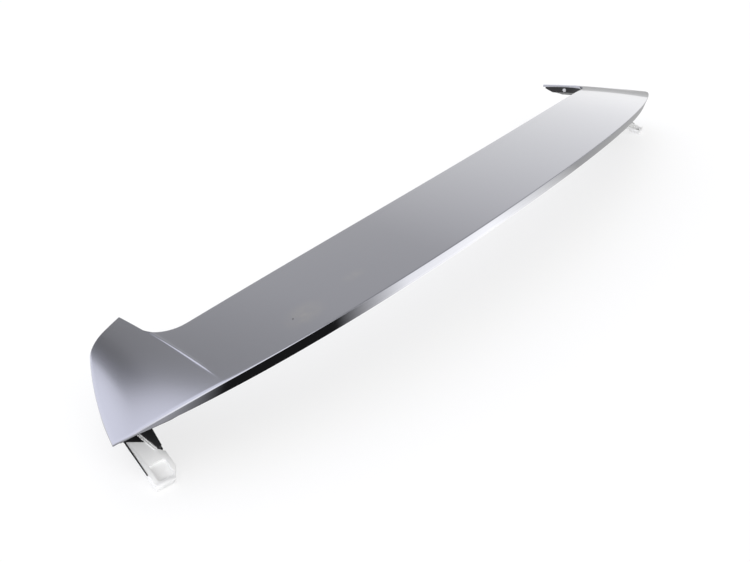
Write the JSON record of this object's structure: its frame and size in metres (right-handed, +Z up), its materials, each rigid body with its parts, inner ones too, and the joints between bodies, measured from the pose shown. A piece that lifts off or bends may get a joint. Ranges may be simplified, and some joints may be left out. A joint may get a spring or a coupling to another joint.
{
  "type": "tailgate spoiler",
  "caption": "Slim painted tailgate spoiler with drooping side wings, a tall trailing-edge band, a black lower shell with studs, and white retainer clips under its rear corners.",
  "frame": {"origin": "on the tailgate skin, midway between the two inner studs", "axes": "+X to the car's right, +Y forward, +Z up"},
  "size_m": [1.1942, 0.2485, 0.129],
  "materials": {
    "silver_paint": "silver metallic paint under clear coat, on moulded plastic",
    "black_plastic": "black moulded plastic with a fine grain",
    "white_plastic": "natural white moulded plastic, slightly waxy",
    "grey_plastic": "light grey moulded plastic",
    "foam": "black closed-cell foam",
    "zinc_steel": "bright zinc-plated steel"
  },
  "bodies": {
    "root": {"upper_shell": "silver_paint", "lower_shell": "black_plastic", "leading_edge_seal": "foam", "mounting_studs": "zinc_steel", "stud_washers": "foam", "left_end_bracket": "black_plastic", "right_end_bracket": "black_plastic", "left_retainer_clip": "white_plastic", "right_retainer_clip": "white_plastic", "bracket_screws": "zinc_steel", "seam_plugs": "grey_plastic"}
  },
  "joints": []
}
